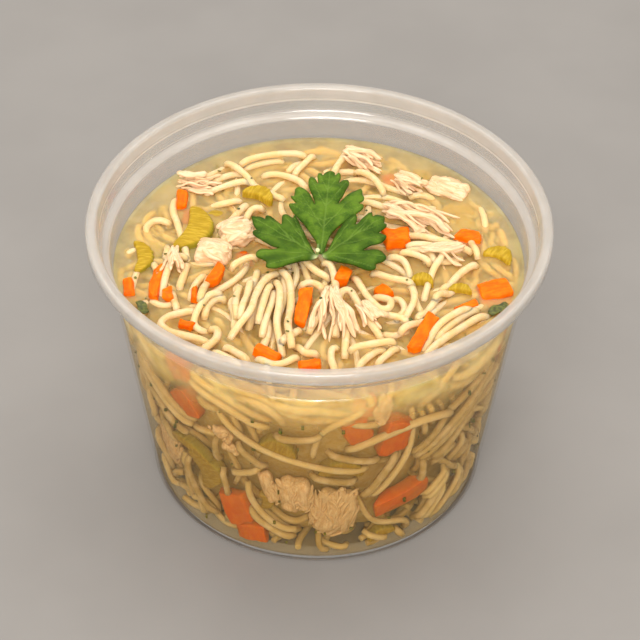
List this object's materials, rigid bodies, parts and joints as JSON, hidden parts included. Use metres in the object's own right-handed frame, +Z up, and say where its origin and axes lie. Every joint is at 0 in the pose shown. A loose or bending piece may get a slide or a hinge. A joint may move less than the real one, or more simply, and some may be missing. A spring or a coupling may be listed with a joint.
{
  "type": "tub of chicken noodle soup",
  "caption": "Round clear food tub of chicken noodle soup with carrot, celery and shredded chicken, topped with a parsley sprig.",
  "frame": {"origin": "middle of the tub's flat underside", "axes": "+Z up, -Y towards the front, where the parsley's stem points"},
  "size_m": [0.117, 0.117, 0.0787],
  "materials": {
    "clear_plastic": "slightly hazy clear plastic, satin rim",
    "broth": "cloudy golden broth, glossy surface",
    "noodle": "moist soft pasta",
    "chicken": "moist fibrous cooked meat",
    "carrot": "moist cooked carrot",
    "celery": "moist translucent cooked celery",
    "leaf": "fresh satin leaf"
  },
  "bodies": {
    "root": {"tub": "clear_plastic", "broth": "broth", "noodles": "noodle", "carrot_01": "carrot", "carrot_02": "carrot", "carrot_03": "carrot", "carrot_04": "carrot", "carrot_05": "carrot", "carrot_06": "carrot", "carrot_07": "carrot", "carrot_08": "carrot", "carrot_09": "carrot", "carrot_10": "carrot", "carrot_11": "carrot", "carrot_12": "carrot", "carrot_13": "carrot", "carrot_14": "carrot", "carrot_15": "carrot", "carrot_16": "carrot", "carrot_17": "carrot", "celery_01": "celery", "celery_02": "celery", "celery_03": "celery", "celery_04": "celery", "celery_05": "celery", "celery_06": "celery", "chicken_chunk_01": "chicken", "chicken_chunk_02": "chicken", "chicken_chunk_03": "chicken", "chicken_shreds_01": "chicken", "chicken_shreds_02": "chicken", "chicken_shreds_03": "chicken", "chicken_shreds_04": "chicken", "chicken_shreds_05": "chicken", "chicken_shreds_06": "chicken", "chicken_shreds_07": "chicken", "chicken_shreds_08": "chicken", "herb_leaf_01": "leaf", "herb_leaf_02": "leaf", "parsley": "leaf"}
  },
  "joints": []
}
